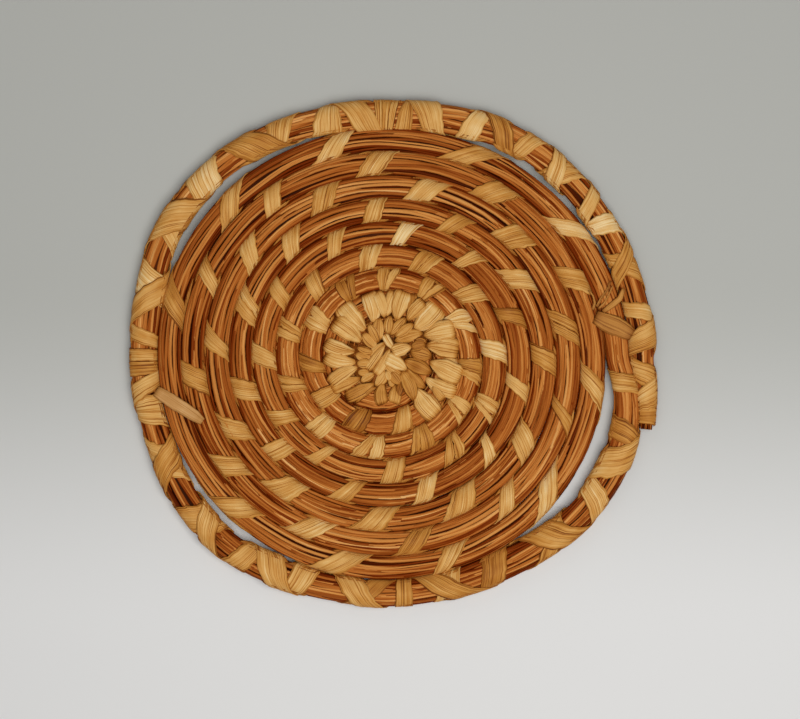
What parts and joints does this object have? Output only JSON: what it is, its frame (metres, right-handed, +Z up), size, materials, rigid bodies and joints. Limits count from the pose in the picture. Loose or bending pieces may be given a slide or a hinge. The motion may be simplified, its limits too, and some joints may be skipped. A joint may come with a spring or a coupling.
{
  "type": "basketry tray",
  "caption": "Flat coiled basketry tray: a spiral bundle of grass stalks sewn with pale splints, with an open rim wrapped in crossing splints.",
  "frame": {"origin": "under the middle of the start knot, on the surface that the tray lies on", "axes": "+Z up out of the tray's face, +Y towards the top of the picture, +X to its right, where the rim leaves and joins"},
  "size_m": [0.1816, 0.1739, 0.0085],
  "materials": {
    "stalks": "dry reddish-brown grass stalks, slightly glossy",
    "splint": "dry pale straw leaf splint, fine grain along it",
    "wrap_under": "dry tan leaf splint, a little darker",
    "binding": "dry brown leaf splint",
    "tail": "dry pinkish tan leaf splint with a torn end"
  },
  "bodies": {
    "root": {"start_knot": "splint", "knot_splint_1": "splint", "knot_splint_2": "splint", "coil_bundle": "stalks", "sewing_strip_01": "splint", "sewing_strip_02": "splint", "sewing_strip_03": "splint", "sewing_strip_04": "splint", "sewing_strip_05": "splint", "sewing_strip_06": "splint", "sewing_strip_07": "splint", "sewing_strip_08": "splint", "sewing_strip_09": "splint", "join_binding": "binding", "loose_tail": "tail", "rim_bundle": "stalks", "rim_wrap_under_1": "wrap_under", "rim_wrap_under_2": "wrap_under", "rim_wrap_under_3": "wrap_under", "rim_wrap_under_4": "wrap_under", "rim_wrap_over_1": "splint", "rim_wrap_over_2": "splint", "rim_wrap_over_3": "splint", "rim_wrap_over_4": "splint", "rim_lashing_1": "splint", "rim_lashing_2": "splint", "rim_lashing_3": "splint", "rim_end_wrap": "splint"}
  },
  "joints": []
}
